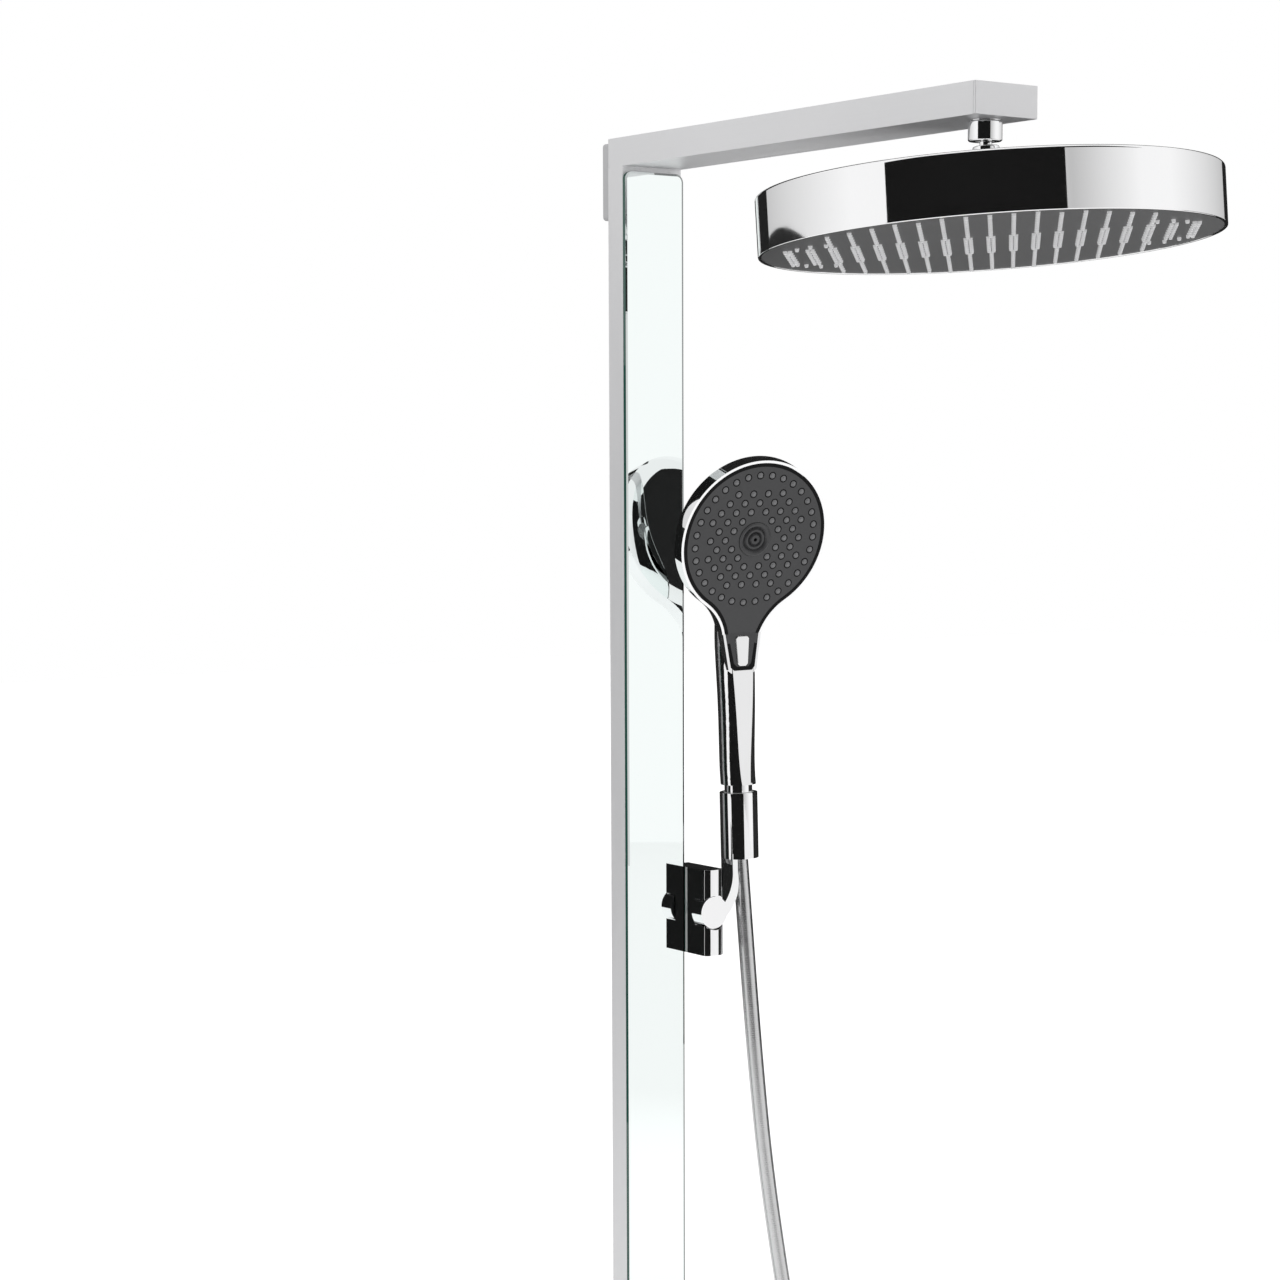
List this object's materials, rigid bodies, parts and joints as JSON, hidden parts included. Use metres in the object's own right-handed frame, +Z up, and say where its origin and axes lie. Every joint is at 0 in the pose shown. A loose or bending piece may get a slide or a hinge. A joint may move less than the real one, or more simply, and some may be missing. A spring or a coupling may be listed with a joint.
{
  "type": "shower panel column",
  "caption": "Wall-mounted shower column with mirror front, overhead arm with a round tilting shower, sliding holder with hand shower and hose, and a thermostatic mixer at its foot.",
  "frame": {"origin": "midway between the two wall inlets, on the wall", "axes": "+X right for a person facing the wall, +Y into the wall, +Z up"},
  "size_m": [0.3406, 0.6417, 1.4787],
  "materials": {
    "satin_aluminium": "satin anodised",
    "grey_bracket": "matt",
    "mirror_glass": "polished mirror",
    "chrome_plated_plastic": "bright chrome plated",
    "chrome_metal": "bright chrome plated",
    "anthracite_plastic": "fine matt",
    "grey_nozzle": "soft matt",
    "dark_button": "satin",
    "inner_plastic": "matt",
    "dark_seal": "matt",
    "brass": "machined",
    "spring_steel": "bright",
    "metal_effect_hose": "satin metal effect"
  },
  "bodies": {
    "column": {"arm_end_cap": "satin_aluminium", "arm_outlet_block": "inner_plastic", "arm_pipe": "brass", "arm_rear_cap": "satin_aluminium", "ball_cup": "chrome_metal", "ball_nut": "chrome_metal", "check_valves": "inner_plastic", "column_profile": "satin_aluminium", "flow_cartridge": "inner_plastic", "front_glass": "mirror_glass", "hose_lower": "metal_effect_hose", "hose_nut": "chrome_metal", "hose_outlet": "chrome_metal", "inlet_filters": "inner_plastic", "inlet_seals": "dark_seal", "lower_wall_bracket": "grey_bracket", "mixer_body": "brass", "mixer_casing": "chrome_plated_plastic", "overhead_arm": "satin_aluminium", "riser_elbow": "inner_plastic", "riser_pipe": "brass", "temperature_cartridge": "inner_plastic", "union_nuts": "chrome_metal", "upper_wall_bracket": "grey_bracket", "wall_unions": "brass"},
    "temperature_knob": {"temperature_knob": "chrome_plated_plastic", "temperature_spindle": "brass"},
    "temperature_stop": {"temperature_stop": "dark_button"},
    "flow_knob": {"flow_knob": "chrome_plated_plastic", "flow_spindle": "brass"},
    "flow_stop": {"flow_stop": "dark_button"},
    "ball_seat": {"ball_seat": "inner_plastic"},
    "ball_stem": {"ball_stem": "chrome_metal"},
    "overhead_shower": {"swivel_nut": "chrome_metal", "overhead_housing": "chrome_plated_plastic", "overhead_face_plate": "anthracite_plastic", "overhead_water_chamber": "inner_plastic", "chamber_seal": "dark_seal", "overhead_nozzles": "grey_nozzle"},
    "slider": {"slider_block": "chrome_plated_plastic", "pivot_pin": "spring_steel", "slider_glide": "inner_plastic", "brake_spring": "spring_steel", "hose_upper": "metal_effect_hose"},
    "holder": {"holder_arm": "chrome_metal", "sleeve_liner": "inner_plastic"},
    "hand_shower": {"hand_shell": "chrome_plated_plastic", "hand_face_plate": "anthracite_plastic", "hand_jet": "grey_nozzle", "hand_spray_former": "inner_plastic", "hand_nozzles": "grey_nozzle", "hand_connector": "chrome_metal", "hose_cone_nut": "chrome_metal", "hand_water_pipe": "inner_plastic", "button_spring": "spring_steel"},
    "select_button": {"select_button": "dark_button"}
  },
  "joints": [
    {"name": "head_tilt_forward", "type": "hinge", "parent": "column", "child": "ball_seat", "pos_m": [0, -0.452, 1.098], "axis": [1, 0, 0], "range_deg": [-5.6, 14.4]},
    {"name": "head_tilt_sideways", "type": "hinge", "parent": "ball_seat", "child": "ball_stem", "pos_m": [0, -0.452, 1.098], "axis": [0, 0.9971, -0.076], "range_deg": [-9.1, 10.9]},
    {"name": "head_swivel", "type": "hinge", "parent": "ball_stem", "child": "overhead_shower", "pos_m": [0, -0.452, 1.098], "axis": [-0.0159, 0.076, 0.997], "continuous": true},
    {"name": "slider_height", "type": "slide", "parent": "column", "child": "slider", "axis": [0, 0, 1], "range_m": [-0.25, 0.22], "deforming": ["hose_lower", "hose_upper"]},
    {"name": "holder_turn", "type": "hinge", "parent": "slider", "child": "holder", "pos_m": [0.0402, -0.066, 0.472], "axis": [0, 1, 0], "range_deg": [-7, 32]},
    {"name": "hand_shower_turn", "type": "hinge", "parent": "holder", "child": "hand_shower", "pos_m": [0.07444, -0.057, 0.5169], "axis": [-0.0262, 0, 0.9997], "range_deg": [-10, 50]},
    {"name": "select_press", "type": "slide", "parent": "hand_shower", "child": "select_button", "axis": [0.1357, 0.9907, 0.0035], "range_m": [0, 0.0012], "stiffness_N_per_m": 1500, "springref_m": -0.0015, "deforming": ["button_spring"]},
    {"name": "temperature_turn", "type": "hinge", "parent": "column", "child": "temperature_knob", "pos_m": [0.128, -0.038, 0], "axis": [1, 0, 0], "range_deg": [-150, 60]},
    {"name": "temperature_stop_press", "type": "slide", "parent": "temperature_knob", "child": "temperature_stop", "axis": [0, 1, 0], "range_m": [0, 0.0015], "stiffness_N_per_m": 2000, "springref_m": -0.002},
    {"name": "flow_turn", "type": "hinge", "parent": "column", "child": "flow_knob", "pos_m": [-0.128, -0.038, 0], "axis": [1, 0, 0], "range_deg": [-90, 90]},
    {"name": "flow_stop_press", "type": "slide", "parent": "flow_knob", "child": "flow_stop", "axis": [0, 1, 0], "range_m": [0, 0.0015], "stiffness_N_per_m": 2000, "springref_m": -0.002}
  ]
}
